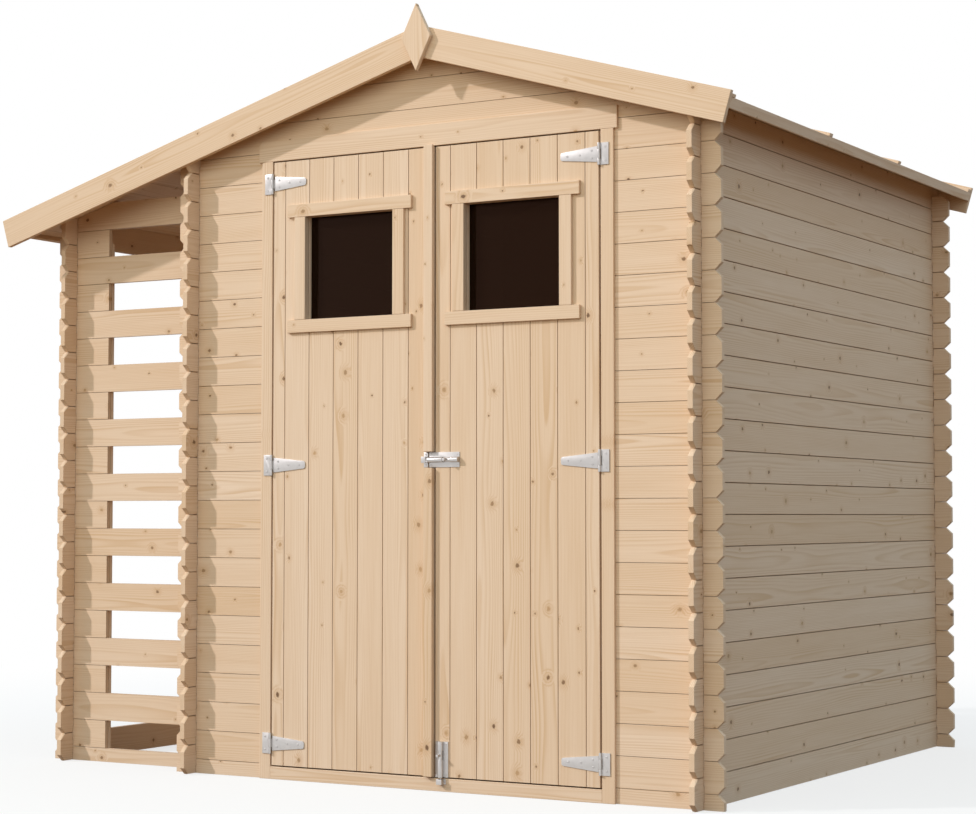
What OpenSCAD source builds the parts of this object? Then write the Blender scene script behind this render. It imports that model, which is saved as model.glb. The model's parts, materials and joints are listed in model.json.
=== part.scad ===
// Garden shed of interlocking planks with an open log store under one long roof slope.
// Millimetres, +Z up, the doors face -Y, the log store is on the -X side.

/* [Planks] */
// Height that one plank covers
course_h = 89; // [70:1:120]
// Thickness of the wall planks
plank_t = 16; // [12:1:28]
// Length of a plank end beyond the wall it crosses
log_end = 60; // [40:1:90]
// Chamfer on the corners of a plank end
end_chamfer = 20; // [8:1:26]
// Gap between planks that lie on each other
plank_gap = 0.4; // [0.2:0.1:0.8]

/* [Shed] */
// Width over the outer faces of the side walls
shed_w = 1744; // [1500:1:2200]
// Depth over the outer faces of the front and back walls
shed_d = 1932; // [1400:1:2600]

/* [Log store] */
// Clear width between the shed and the store's outer wall
store_w = 564; // [400:1:800]
// Distance the store's slats lie behind the shed's faces
store_setback = 95; // [80:1:160]
// Length of the corner stubs inside the crossing wall
stub_len = 136; // [90:1:200]
// Width of the upright battens behind the slats
batten_w = 40; // [25:1:60]
// Thickness of the upright battens
batten_t = 12; // [10:1:25]

/* [Roof] */
// Pitch of both slopes in degrees
pitch = 16.2; // [12:0.1:22]
// Height of the gable boards at the ridge
apex_z = 2234; // [2000:1:2400]
// Overhang beyond the right wall, at the top of the gable board
eave_right = 123; // [100:1:160]
// Overhang beyond the store's outer wall, at the top of the gable board
eave_left = 162; // [110:1:200]
// Overhang of the roof boards beyond the front and back walls
roof_over = 55; // [30:1:120]
// Gap between a plank end and the lower edge of a gable board above it
barge_clear = 2; // [1:0.5:10]
// Thickness of the roof boards
deck_t = 16; // [12:1:22]
// Width of the gable boards across the slope
barge_w = 91; // [80:1:130]
// Thickness of the gable boards
barge_t = 16; // [12:1:25]
// Distance of the roof boards below the top of the gable boards
deck_drop = 18; // [14:1:30]
// Height of the strip along the eaves
eave_strip_h = 30; // [20:1:45]
// Thickness of the strip along the eaves
eave_strip_t = 16; // [12:1:25]
// Width of the battens on the roof
roof_batten_w = 25; // [20:1:40]
// Thickness of the battens on the roof
roof_batten_t = 10; // [6:1:14]
// Distance of the two inner roof battens from the middle
roof_batten_off = 297; // [200:1:400]
// Width of the diamond at the ridge
finial_w = 100; // [80:1:120]
// Height of the diamond at the ridge
finial_h = 200; // [170:1:240]
// Distance of the diamond's middle above the middle of the gable boards
finial_up = 9; // [0:1:30]

/* [Doorway] */
// Clear width between the jambs
door_opening = 1133; // [900:1:1200]
// Height of the rail between the doors and the gable
rail_h = 28; // [15:1:60]
// Width of a jamb
jamb_w = 40; // [32:1:60]
// How far the frame stands out from the wall
frame_proud = 9.5; // [6:0.5:22]
// Thickness of the jamb behind the planks
jamb_back = 16; // [10:1:25]
// How far the planks run into the jamb
jamb_groove = 12; // [8:1:20]
// Height of the lintel board
lintel_h = 65; // [50:1:75]
// Length of the lintel beyond a jamb
lintel_over = 12; // [0:1:20]
// Height of the sill
sill_h = 38; // [30:1:60]

/* [Doors] */
// Gap between a leaf and its jamb
leaf_gap = 5; // [5:0.5:8]
// Gap above and below the leaves
end_gap = 3.5; // [3:0.5:8]
// Gap between the cover strip and the right leaf
meet_gap = 3; // [2.5:0.5:6]
// Thickness of the leaf boards
leaf_t = 14; // [12:1:22]
// Width of a leaf board
leaf_board = 89; // [70:1:120]
// Width of the board at the hinge
hinge_board = 44; // [35:1:80]
// Least width of the board at the free edge
board_min = 12; // [8:1:30]
// Width of the cover strip on the left leaf
strip_w = 30; // [28:1:60]
// Thickness of the cover strip
strip_t = 15; // [10:1:22]
// How far the cover strip reaches past the edge of the left leaf
strip_over = 19; // [10:1:20]
// How far the cover strip reaches up in front of the lintel
strip_up = 2; // [0:0.5:10]
// Gap between the cover strip and the latch that it is cut out for
strip_play = 1.5; // [1:0.5:4]
// Height of a ledge behind the boards
ledge_h = 90; // [60:1:110]
// Thickness of a ledge
ledge_t = 16; // [12:1:20]
// Distance of a ledge from the edges of its leaf
ledge_in = 30; // [25:1:60]
// Least distance of a ledge from the ends of its leaf
ledge_end = 6; // [4:1:20]

/* [Windows] */
// Distance of the level trims from the edges of a leaf
trim_in = 58; // [45:1:90]
// Distance of the clear opening below the top of the leaf
win_drop = 176; // [120:1:260]
// Clear height inside the trim
win_h = 314; // [240:1:330]
// Width of the trim
trim_w = 39; // [30:1:50]
// Thickness of the trim
trim_t = 10; // [8:1:20]
// Length of the level trims beyond the upright ones
trim_over = 26; // [0:1:30]
// Thickness of the glass
glass_t = 4; // [3:0.5:6]
// Depth of the groove that holds the glass
glass_lap = 10; // [6:1:16]
// Distance of the glass behind the boards
glass_set = 12; // [6:1:14]
// Width of the grooved bars around the glass
bead_w = 22; // [18:1:30]
// Thickness of the grooved bars
bead_t = 22; // [21:1:28]

/* [Ironmongery] */
// Radius of a hinge knuckle
knuckle_r = 4.5; // [3.5:0.5:6]
// Gap between a knuckle and the wood
knuckle_clear = 0.5; // [0.3:0.1:1]
// Height of the outer knuckles
knuckle_h = 18; // [12:1:22]
// Width of the land between a knuckle and its plate or strap
knuckle_land = 2; // [1:0.5:4]
// Radius of a hinge pin
pin_r = 2.2; // [1.5:0.1:3]
// Play of the pin in the middle knuckle
pin_play = 0.2; // [0.1:0.1:0.4]
// Thickness of the hinge plates
hinge_t = 3; // [2:0.5:4]
// Height of a hinge plate on the jamb
plate_h = 63; // [50:1:90]
// Width of a hinge plate on the jamb
plate_w = 27; // [20:1:36]
// Length of a hinge strap from the pin
strap_len = 124; // [90:1:170]
// Height of a strap at its root
strap_root = 45; // [38:1:60]
// Height of a strap at its tip
strap_tip = 23; // [18:1:36]
// Radius of the corners at a strap's tip
strap_round = 7; // [2:1:8]
// Distance of the outer hinges from the ends of the leaf
hinge_in = 67; // [55:1:150]
// Distance of the middle hinge above the lower end of the leaf
hinge_mid = 910; // [700:1:1100]
// Length of a bolt's base plate
bolt_l = 103; // [90:1:130]
// Width of a bolt's base plate
bolt_w = 44; // [36:1:60]
// Thickness of the base plate and the guides
bolt_t = 2; // [1.5:0.5:3]
// Radius of a bolt's rod
rod_r = 6; // [4:0.5:8]
// Length of the guide at the tip of the rod
guide_front = 50; // [40:1:56]
// Length of the guide at the end of the rod
guide_back = 26; // [20:1:28]
// Wall of a guide or keeper around the rod
guide_wall = 2; // [1.5:0.5:3]
// Play between a rod and its keeper
keeper_play = 1; // [0.5:0.5:2]
// Length of a keeper along the rod
keeper_l = 15; // [12:1:24]
// Length of the latch keeper's ears beside the hole
keeper_ear = 13; // [10:1:16]
// Length of the foot keeper's ears beside the hole
foot_ear = 5; // [3:1:16]
// Gap between the latch's base plate and the left leaf
bolt_clear = 2.5; // [2:0.5:6]
// Distance of the keepers and the foot bolt from the edge they lie at
edge_in = 1.5; // [1:0.5:6]
// Radius of a bolt's knob
knob_r = 4; // [3:0.5:5]
// Height of a bolt's knob above the rod
knob_h = 14; // [8:1:20]
// Height of the latch bolt above the lower end of the leaf
latch_up = 919; // [750:1:1100]

/* [Hidden] */
$fn = 48;
half = course_h / 2;
notch = course_h / 4;
seat = 0.3;
xr = 0;
xl = -shed_w;
x_mid_shed = -shed_w / 2;
x_store_in = xl - store_w;
x_store_out = x_store_in - plank_t;
yf = 0;
yb = shed_d;
ys_f = store_setback;
ys_b = shed_d - store_setback;
y_mid = shed_d / 2;
tan_p = tan(pitch);
cos_p = cos(pitch);
sin_p = sin(pitch);
roof_r = xr + eave_right;
roof_l = x_store_out - eave_left;
x_mid = (roof_l + roof_r) / 2;
y_deck_f = -roof_over;
y_deck_b = shed_d + roof_over;
under_drop = deck_drop + deck_t;
wall_courses = floor(roof_under(xr) / course_h - 0.5);
store_courses = floor(roof_under(x_store_out) / course_h - 0.5);
gable_first = wall_courses + 1;
gable_last = floor(roof_under(x_mid_shed) / course_h - 0.1);
gable_z = gable_first * course_h - half;
door_top = gable_z - seat - rail_h;
jamb_x0 = x_mid_shed - door_opening / 2;
jamb_x1 = x_mid_shed + door_opening / 2;
pin_y = -frame_proud - knuckle_r - knuckle_clear;
pin_xl = jamb_x0 + leaf_gap / 2;
pin_xr = jamb_x1 - leaf_gap / 2;
leaf_wl = x_mid_shed - pin_xl;
leaf_wr = pin_xr - x_mid_shed - strip_over - meet_gap;
leaf_y0 = -frame_proud;
leaf_z0 = sill_h + end_gap;
leaf_z1 = door_top - end_gap;
win_w = leaf_wl - leaf_gap / 2 - 2 * (trim_in + trim_w + trim_over);
win_u = (leaf_wl + leaf_gap / 2) / 2;
win_z0 = leaf_z1 - win_drop - win_h;
hinge_z = [leaf_z0 + hinge_in, leaf_z0 + hinge_mid, leaf_z1 - hinge_in];
latch_z = leaf_z0 + latch_up;
foot_u = leaf_wr - edge_in - bolt_w / 2;
keeper_hole = 2 * (rod_r + keeper_play);
keeper_bridge = keeper_hole + 2 * guide_wall;
strip_cut = max(bolt_w, keeper_bridge + 2 * keeper_ear) + 2 * strip_play;
batten_z = store_courses * course_h;
wood = [0.88, 0.77, 0.62];
wood_end = [0.85, 0.73, 0.57];
steel = [0.72, 0.72, 0.73];

// Sub-part to draw

// Line across the building at a distance below the top of the gable boards
function slope_z(x, drop) = apex_z - drop / cos_p - abs(x - x_mid_shed) * tan_p;

// Underside of the roof boards
function roof_under(x) = slope_z(x, under_drop);

// Length of a side wall's plank end. It is shorter where the gable board passes in front of it.
function plank_end(k) = (k + 1) * course_h > slope_z(xr, barge_w) - barge_clear
    ? min(log_end, roof_over - seat) : log_end;

// One side of a plank's outline at a crossing: down, across and up again
function notch_pts(c, z, d, w) = [[c - w, z], [c - w, z + d], [c + w, z + d], [c + w, z]];

// Outline of a plank from u0 to u1 and z0 to z1. It has notches nb deep below and nt deep above
// at the crossings cs, and its four corners are chamfered by eb0, eb1, et1 and et0.
function plank_pts(u0, u1, z0, z1, cs, nb, nt, eb0, eb1, et1, et0) = let (
        w = plank_t / 2 + plank_gap,
        below = [for (c = cs) each notch_pts(c, z0, nb, w)],
        above = [for (i = [len(cs) - 1 : -1 : 0]) each notch_pts(cs[i], z1, -nt, -w)])
    concat(
        eb0 > 0 ? [[u0, z0 + eb0], [u0 + eb0, z0]] : [[u0, z0]],
        nb > 0 ? below : [],
        eb1 > 0 ? [[u1 - eb1, z0], [u1, z0 + eb1]] : [[u1, z0]],
        et1 > 0 ? [[u1, z1 - et1], [u1 - et1, z1]] : [[u1, z1]],
        nt > 0 ? above : [],
        et0 > 0 ? [[u0 + et0, z1], [u0, z1 - et0]] : [[u0, z1]]);

// Moves the building so that its box is centred over the origin
module place() {
    translate([-x_mid, -y_mid, 0])
        children();
}

// A flat outline stood up along X, from y0 back
module along_x(y0, t) {
    translate([0, y0 + t, 0])
        rotate([90, 0, 0])
            linear_extrude(t)
                children();
}

// A flat outline stood up along Y, from x0 to the right
module along_y(x0, t) {
    translate([x0, 0, 0])
        rotate([90, 0, 90])
            linear_extrude(t)
                children();
}

// Full plank of course k. shift is half for walls that start with a half plank.
module plank(k, shift, u0, u1, cs, e0, e1, extra = 0) {
    z0 = k * course_h - shift;
    polygon(plank_pts(u0, u1, k + shift > 0 ? z0 + plank_gap / 2 : 0,
        z0 + course_h - plank_gap / 2 + extra,
        cs, notch, extra > 0 ? 0 : notch,
        e0, e1, extra > 0 ? 0 : e1, extra > 0 ? 0 : e0));
}

// Half plank that lies on the ground
module half_plank(u0, u1, cs, e0, e1) {
    polygon(plank_pts(u0, u1, 0, half - plank_gap / 2, cs, 0, notch, 0, 0, e1, e0));
}

// Everything under the roof boards
module under_roof() {
    far = shed_w * 2 + store_w;
    zl = roof_under(x_mid_shed - far) - seat;
    zr = roof_under(x_mid_shed + far) - seat;
    along_x(-shed_d, shed_d * 3)
        polygon([[x_mid_shed - far, -far], [x_mid_shed + far, -far], [x_mid_shed + far, zr],
            [x_mid_shed, roof_under(x_mid_shed) - seat], [x_mid_shed - far, zl]]);
}

// Cuts a plank with its top at z to the slope where the roof is lower than that, at x
module fit_roof(z, x) {
    if (z > roof_under(x) - seat)
        intersection() {
            children();
            under_roof();
        }
    else
        children();
}

// Side wall of the shed: full planks and one that is cut to the slope of the roof
module side_wall(x0) {
    cs = [plank_t / 2, shed_d - plank_t / 2];
    for (k = [0 : wall_courses]) {
        extra = k == wall_courses ? course_h : 0;
        fit_roof((k + 1) * course_h + extra, xr)
            along_y(x0, plank_t)
                plank(k, 0, -plank_end(k), shed_d + plank_end(k), cs, end_chamfer, end_chamfer, extra);
    }
}

// End wall of the shed, from u0 to u1, with log ends where e0 and e1 are set
module end_wall(y0, u0, u1, cs, e0, e1) {
    along_x(y0, plank_t)
        half_plank(u0, u1, cs, e0, e1);
    for (k = [1 : wall_courses])
        fit_roof((k + 1) * course_h - half, xr + log_end)
            along_x(y0, plank_t)
                plank(k, half, u0, u1, cs, e0, e1);
}

// Gable planks between the side walls, cut to both slopes
module gable(y0) {
    u0 = xl + plank_t + seat;
    u1 = xr - plank_t - seat;
    for (k = [gable_first : gable_last])
        intersection() {
            along_x(y0, plank_t)
                plank(k, half, u0, u1, [], 0, 0, k == gable_last ? course_h : 0);
            under_roof();
        }
}

// Slats of the store at y0: a half plank and every second course, the last cut to the roof
module store_slats(y0) {
    u0 = x_store_out - log_end;
    u1 = xl - seat;
    cs = [x_store_in - plank_t / 2];
    along_x(y0, plank_t)
        half_plank(u0, u1, cs, end_chamfer, 0);
    for (k = [2 : 2 : store_courses + store_courses % 2])
        fit_roof((k + 1) * course_h - half, u0)
            along_x(y0, plank_t)
                plank(k, half, u0, u1, cs, end_chamfer, 0);
}

// Corner stubs of the store in the courses between its slats
module store_stubs(y0) {
    for (k = [1 : 2 : store_courses])
        fit_roof((k + 1) * course_h - half, x_store_out - log_end)
            along_x(y0, plank_t)
                plank(k, half, x_store_out - log_end, x_store_in + stub_len,
                    [x_store_in - plank_t / 2], end_chamfer, 0);
}

module right_wall() color(wood) place() side_wall(xr - plank_t);

module left_wall() color(wood) place() side_wall(xl);

module back_wall() color(wood) place()
    end_wall(yb - plank_t, xl - log_end, xr + log_end, [xl + plank_t / 2, xr - plank_t / 2],
        end_chamfer, end_chamfer);

module back_gable() color(wood) place() gable(yb - plank_t);

module front_wall_left() color(wood) place()
    end_wall(yf, xl - log_end, jamb_x0 - jamb_w + jamb_groove, [xl + plank_t / 2],
        end_chamfer, 0);

module front_wall_right() color(wood) place()
    end_wall(yf, jamb_x1 + jamb_w - jamb_groove, xr + log_end, [xr - plank_t / 2],
        0, end_chamfer);

module front_gable() color(wood) place() gable(yf);

module store_front_slats() color(wood) place() store_slats(ys_f);

module store_front_stubs() color(wood) place() store_stubs(ys_f);

module store_back_slats() color(wood) place() store_slats(ys_b - plank_t);

module store_back_stubs() color(wood) place() store_stubs(ys_b - plank_t);

// Lowest and highest plank of the store's outer side
module store_side_planks() color(wood) place() {
    u0 = ys_f - log_end;
    u1 = ys_b + log_end;
    cs = [ys_f + plank_t / 2, ys_b - plank_t / 2];
    for (k = [0, store_courses])
        fit_roof((k + 1) * course_h, x_store_out)
            along_y(x_store_out, plank_t)
                plank(k, 0, u0, u1, cs, end_chamfer, end_chamfer);
}

// Corner stubs of the store's open side
module store_side_stubs() color(wood) place()
    for (k = [1 : store_courses - 1]) {
        along_y(x_store_out, plank_t)
            plank(k, 0, ys_f - log_end, ys_f + plank_t + stub_len, [ys_f + plank_t / 2],
                end_chamfer, 0);
        along_y(x_store_out, plank_t)
            plank(k, 0, ys_b - plank_t - stub_len, ys_b + log_end, [ys_b - plank_t / 2],
                0, end_chamfer);
    }

// Upright battens that tie the stubs and hold the slats to the shed
module store_battens() color(wood) place() {
    xs = [xl - seat - batten_w, x_store_in + stub_len - batten_w];
    for (x = xs, y = [ys_f + plank_t + seat, ys_b - plank_t - seat - batten_t])
        translate([x, y, 0])
            cube([batten_w, batten_t, batten_z]);
    for (y = [ys_f + plank_t + stub_len - batten_w, ys_b - plank_t - stub_len])
        translate([x_store_in + seat, y, 0])
            cube([batten_t, batten_w, batten_z]);
}

// Grooved post that takes the plank ends. It is drawn for the left side of the doorway.
module jamb() {
    y1 = plank_t + jamb_back;
    linear_extrude(door_top - seat)
        polygon([[0, -frame_proud], [0, y1], [-jamb_w, y1], [-jamb_w, plank_t + seat],
            [seat - jamb_w + jamb_groove, plank_t + seat], [seat - jamb_w + jamb_groove, -seat],
            [-jamb_w, -seat], [-jamb_w, -frame_proud]]);
}

module door_jamb_left() color(wood) place()
    translate([jamb_x0, 0, 0])
        jamb();

module door_jamb_right() color(wood) place()
    translate([jamb_x1, 0, 0])
        mirror([1, 0, 0])
            jamb();

// Lintel board with a rail behind it that fills the wall above the doors
module door_head() color(wood) place() {
    rail = jamb_w - jamb_groove - seat;
    len_b = door_opening + 2 * (jamb_w + lintel_over);
    translate([x_mid_shed - len_b / 2, -frame_proud, door_top])
        cube([len_b, frame_proud - seat, lintel_h]);
    translate([jamb_x0 - rail, -frame_proud, door_top])
        cube([door_opening + 2 * rail, frame_proud + plank_t, rail_h]);
}

module door_sill() color(wood) place()
    translate([jamb_x0 + seat, -frame_proud, 0])
        cube([door_opening - 2 * seat, frame_proud + plank_t, sill_h]);

// Cross-section of a layer of the roof between two depths, from the ridge to an end that is
// cut square to the slope. back is how far that end lies from the end of the gable board.
module slope_layer(d0, d1, x_end, back) {
    s = x_end > x_mid_shed ? 1 : -1;
    xa = x_mid_shed + s * plank_gap / 2;
    xe = x_end - s * back * cos_p;
    ze = slope_z(x_end, 0) + back * sin_p;
    polygon([[xa, slope_z(xa, d0)], [xe - s * d0 * sin_p, ze - d0 * cos_p],
        [xe - s * d1 * sin_p, ze - d1 * cos_p], [xa, slope_z(xa, d1)]]);
}

module roof_boards(x_end)
    along_x(y_deck_f + seat, y_deck_b - y_deck_f - 2 * seat)
        slope_layer(deck_drop, under_drop, x_end, eave_strip_t + seat);

module slope_battens(x_end) {
    ys = [y_deck_f + seat, y_mid - roof_batten_off - roof_batten_w / 2,
        y_mid + roof_batten_off - roof_batten_w / 2, y_deck_b - seat - roof_batten_w];
    for (y = ys)
        along_x(y, roof_batten_w)
            slope_layer(deck_drop - roof_batten_t, deck_drop - seat, x_end, 0);
}

// Strip on the ends of the roof boards
module eaves_strip(x_end) {
    s = x_end > x_mid_shed ? 1 : -1;
    z_end = slope_z(x_end, 0);
    along_x(y_deck_f + seat, y_deck_b - y_deck_f - 2 * seat)
        translate([x_end, z_end])
            rotate(-s * pitch)
                translate([s > 0 ? -eave_strip_t : 0, -deck_drop - eave_strip_h])
                    square([eave_strip_t, eave_strip_h]);
}

module barge(y0, x_end)
    along_x(y0, barge_t)
        slope_layer(0, barge_w, x_end, 0);

// Diamond that covers the joint of the gable boards
module finial(y0)
    along_x(y0, barge_t)
        translate([x_mid_shed, slope_z(x_mid_shed, barge_w / 2) + finial_up])
            polygon([[0, -finial_h / 2], [finial_w / 2, 0], [0, finial_h / 2], [-finial_w / 2, 0]]);

module roof_left() color(wood) place() roof_boards(roof_l);

module roof_right() color(wood) place() roof_boards(roof_r);

module roof_battens() color(wood) place()
    for (x_end = [roof_l, roof_r])
        slope_battens(x_end);

module eaves_strips() color(wood) place()
    for (x_end = [roof_l, roof_r])
        eaves_strip(x_end);

module barge_front_left() color(wood) place() barge(y_deck_f - barge_t, roof_l);

module barge_front_right() color(wood) place() barge(y_deck_f - barge_t, roof_r);

module barge_back_left() color(wood) place() barge(y_deck_b, roof_l);

module barge_back_right() color(wood) place() barge(y_deck_b, roof_r);

module finials() color(wood_end) place()
    for (y0 = [y_deck_f - 2 * barge_t - seat, y_deck_b + barge_t + seat])
        finial(y0);

// Puts a door's pieces at its pin. In them x runs from the pin to the free edge.
module at_left_pin() {
    translate([pin_xl, 0, 0])
        children();
}

module at_right_pin() {
    translate([pin_xr, 0, 0])
        mirror([1, 0, 0])
            children();
}

// Upright boards of a leaf that ends at w, cut out for the window
module leaf_boards(w) {
    u0 = leaf_gap / 2;
    n = floor((w - u0 - hinge_board - board_min) / leaf_board);
    edges = concat([u0], [for (i = [0 : n]) u0 + hinge_board + i * leaf_board], [w]);
    difference() {
        for (i = [0 : len(edges) - 2])
            translate([edges[i] + plank_gap / 2, leaf_y0, leaf_z0])
                cube([edges[i + 1] - edges[i] - plank_gap, leaf_t, leaf_z1 - leaf_z0]);
        translate([win_u - win_w / 2, leaf_y0 - leaf_t, win_z0])
            cube([win_w, 3 * leaf_t, win_h]);
    }
}

// Level ledges that the boards are fixed to, one behind each hinge
module leaf_ledges(w)
    for (z = hinge_z)
        translate([leaf_gap / 2 + ledge_in, leaf_y0 + leaf_t + seat,
                min(max(z - ledge_h / 2, leaf_z0 + ledge_end), leaf_z1 - ledge_end - ledge_h)])
            cube([w - leaf_gap / 2 - 2 * ledge_in, ledge_t, ledge_h]);

// Trim around the window, the level pieces longer than the upright ones
module window_trim() {
    y0 = leaf_y0 - seat - trim_t;
    len_t = win_w + 2 * (trim_w + trim_over);
    for (z = [win_z0 - trim_w, win_z0 + win_h])
        translate([win_u - len_t / 2, y0, z])
            cube([len_t, trim_t, trim_w]);
    for (u = [win_u - win_w / 2 - trim_w, win_u + win_w / 2])
        translate([u, y0, win_z0 + plank_gap])
            cube([trim_w, trim_t, win_h - 2 * plank_gap]);
}

// Pane in the grooves of the bars around it
module window_glass() {
    lap = glass_lap - plank_gap;
    translate([win_u - win_w / 2 - lap, leaf_y0 + leaf_t + glass_set + 2 * seat, win_z0 - lap])
        cube([win_w + 2 * lap, glass_t, win_h + 2 * lap]);
}

// Grooved profile of a bar, from its outer edge to the window
module bead_profile() {
    a = bead_w - glass_lap;
    b = glass_set + glass_t + 2 * seat;
    polygon([[0, 0], [bead_w, 0], [bead_w, glass_set], [a, glass_set], [a, b], [bead_w, b],
        [bead_w, bead_t], [0, bead_t]]);
}

// Four grooved bars that hold the pane behind the boards, the level ones longer
module window_bead()
    translate([win_u, leaf_y0 + leaf_t + seat, win_z0 + win_h / 2]) {
        for (m = [0, 1])
            mirror([0, 0, m])
                translate([-win_w / 2 - bead_w, 0, win_h / 2 + bead_w])
                    rotate([0, 90, 0])
                        linear_extrude(win_w + 2 * bead_w)
                            bead_profile();
        for (m = [0, 1])
            mirror([m, 0, 0])
                translate([-win_w / 2 - bead_w, 0, plank_gap - win_h / 2])
                    linear_extrude(win_h - 2 * plank_gap)
                        bead_profile();
    }

// Jamb side of the hinges: plates with the outer knuckles and the pins
module hinge_plates()
    for (z = hinge_z) {
        for (dz = [0, plate_h - knuckle_h]) {
            translate([0, pin_y, z - plate_h / 2 + dz])
                cylinder(r = knuckle_r, h = knuckle_h - seat);
            translate([-knuckle_r - knuckle_land, leaf_y0 - hinge_t, z - plate_h / 2 + dz])
                cube([knuckle_r + knuckle_land, hinge_t - seat, knuckle_h - seat]);
        }
        translate([0, pin_y, z - plate_h / 2])
            cylinder(r = pin_r, h = plate_h - seat);
        translate([-leaf_gap / 2 - plate_w, leaf_y0 - hinge_t, z - plate_h / 2])
            cube([plate_w + leaf_gap / 2 - knuckle_r - knuckle_land / 2, hinge_t - seat, plate_h - seat]);
    }

// Leaf side of the hinges: tapered straps with rounded tips and the middle knuckle
module hinge_straps() {
    mid = plate_h - 2 * knuckle_h - 2 * seat;
    root = knuckle_r + knuckle_land;
    tip_u = strap_len - strap_round;
    tip_z = strap_tip / 2 - strap_round;
    for (z = hinge_z)
        difference() {
            union() {
                translate([0, pin_y, z - mid / 2])
                    cylinder(r = knuckle_r, h = mid);
                along_x(leaf_y0 - hinge_t, hinge_t - seat)
                    translate([0, z]) {
                        polygon([[0, -mid / 2], [root, -mid / 2], [root, -strap_root / 2],
                            [tip_u, -strap_tip / 2], [tip_u, strap_tip / 2],
                            [root, strap_root / 2], [root, mid / 2], [0, mid / 2]]);
                        for (dz = [-tip_z, tip_z])
                            translate([tip_u, dz])
                                circle(r = strap_round);
                        translate([tip_u - strap_round, -tip_z])
                            square([2 * strap_round, 2 * tip_z]);
                    }
            }
            translate([0, pin_y, z - mid])
                cylinder(r = pin_r + pin_play, h = 2 * mid);
        }
}

module hinge_plates_left() color(steel) place() at_left_pin() hinge_plates();

module hinge_plates_right() color(steel) place() at_right_pin() hinge_plates();

module left_leaf_boards() color(wood) place() at_left_pin() leaf_boards(leaf_wl);

module left_leaf_ledges() color(wood) place() at_left_pin() leaf_ledges(leaf_wl);

module left_window_trim() color(wood) place() at_left_pin() window_trim();

module left_window_glass() color([0.2, 0.2, 0.2, 0.6]) place() at_left_pin() window_glass();

module left_window_bead() color(wood) place() at_left_pin() window_bead();

module left_hinge_straps() color(steel) place() at_left_pin() hinge_straps();

module right_leaf_boards() color(wood) place() at_right_pin() leaf_boards(leaf_wr);

module right_leaf_ledges() color(wood) place() at_right_pin() leaf_ledges(leaf_wr);

module right_window_trim() color(wood) place() at_right_pin() window_trim();

module right_window_glass() color([0.2, 0.2, 0.2, 0.6]) place() at_right_pin() window_glass();

module right_window_bead() color(wood) place() at_right_pin() window_bead();

module right_hinge_straps() color(steel) place() at_right_pin() hinge_straps();

// Strip at the meeting edge of the left leaf, cut out at the latch
module cover_strip() color(wood) place() at_left_pin()
    for (z = [[leaf_z0, latch_z - strip_cut / 2], [latch_z + strip_cut / 2, door_top + strip_up]])
        translate([leaf_wl + strip_over - strip_w, leaf_y0 - seat - strip_t, z[0]])
            cube([strip_w, strip_t, z[1] - z[0]]);

// Barrel bolt on a plate. Its rod lies along +X, drawn back so that its tip is inside the plate.
module barrel_bolt() {
    rod_z = bolt_t + rod_r + seat;
    guide_r = rod_r + guide_wall;
    for (g = [[-bolt_l, guide_back], [-guide_front, guide_front]]) {
        translate([g[0], -guide_r, bolt_t / 2])
            cube([g[1], 2 * guide_r, rod_z - bolt_t / 2]);
        translate([g[0], 0, rod_z])
            rotate([0, 90, 0])
                cylinder(r = guide_r, h = g[1]);
    }
    translate([-bolt_l, -bolt_w / 2, 0])
        cube([bolt_l, bolt_w, bolt_t]);
    translate([-bolt_l + guide_wall, 0, rod_z])
        rotate([0, 90, 0])
            cylinder(r = rod_r, h = bolt_l - 2 * guide_wall);
    translate([-(guide_front + bolt_l - guide_back) / 2, 0, rod_z])
        cylinder(r = knob_r, h = rod_r + knob_h);
}

// Bridge that a rod slides into, lying on the XY plane with its hole along X and ears for screws
module keeper(ear) {
    difference() {
        union() {
            translate([-keeper_l / 2, -keeper_bridge / 2 - ear, 0])
                cube([keeper_l, keeper_bridge + 2 * ear, bolt_t]);
            translate([-keeper_l / 2, -keeper_bridge / 2, 0])
                cube([keeper_l, keeper_bridge, keeper_hole + bolt_t + guide_wall]);
        }
        translate([-keeper_l, -keeper_hole / 2, bolt_t])
            cube([2 * keeper_l, keeper_hole, keeper_hole]);
    }
}

module latch_bolt() color(steel) place() at_right_pin()
    translate([leaf_wr + meet_gap + strip_over - bolt_clear, leaf_y0 - seat, latch_z])
        rotate([90, 0, 0])
            barrel_bolt();

module latch_keeper() color(steel) place() at_left_pin()
    translate([leaf_wl - edge_in - keeper_l / 2, leaf_y0 - seat, latch_z])
        rotate([90, 0, 0])
            keeper(keeper_ear);

module foot_bolt() color(steel) place() at_right_pin()
    translate([foot_u, leaf_y0 - seat, leaf_z0])
        rotate([90, 90, 0])
            barrel_bolt();

// Keeper on the sill below the foot bolt
module foot_keeper() color(steel) place() at_right_pin()
    translate([foot_u, -frame_proud - seat, sill_h - edge_in - keeper_l / 2])
        rotate([90, 90, 0])
            keeper(foot_ear);

right_wall();
left_wall();
back_wall();
back_gable();
front_wall_left();
front_wall_right();
front_gable();
store_front_slats();
store_front_stubs();
store_back_slats();
store_back_stubs();
store_side_planks();
store_side_stubs();
store_battens();
door_jamb_left();
door_jamb_right();
door_head();
door_sill();
roof_left();
roof_right();
roof_battens();
eaves_strips();
barge_front_left();
barge_front_right();
barge_back_left();
barge_back_right();
finials();
hinge_plates_left();
hinge_plates_right();
foot_keeper();
left_leaf_boards();
left_leaf_ledges();
cover_strip();
left_window_trim();
left_window_glass();
left_window_bead();
left_hinge_straps();
latch_keeper();
right_leaf_boards();
right_leaf_ledges();
right_window_trim();
right_window_glass();
right_window_bead();
right_hinge_straps();
latch_bolt();
foot_bolt();
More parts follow.
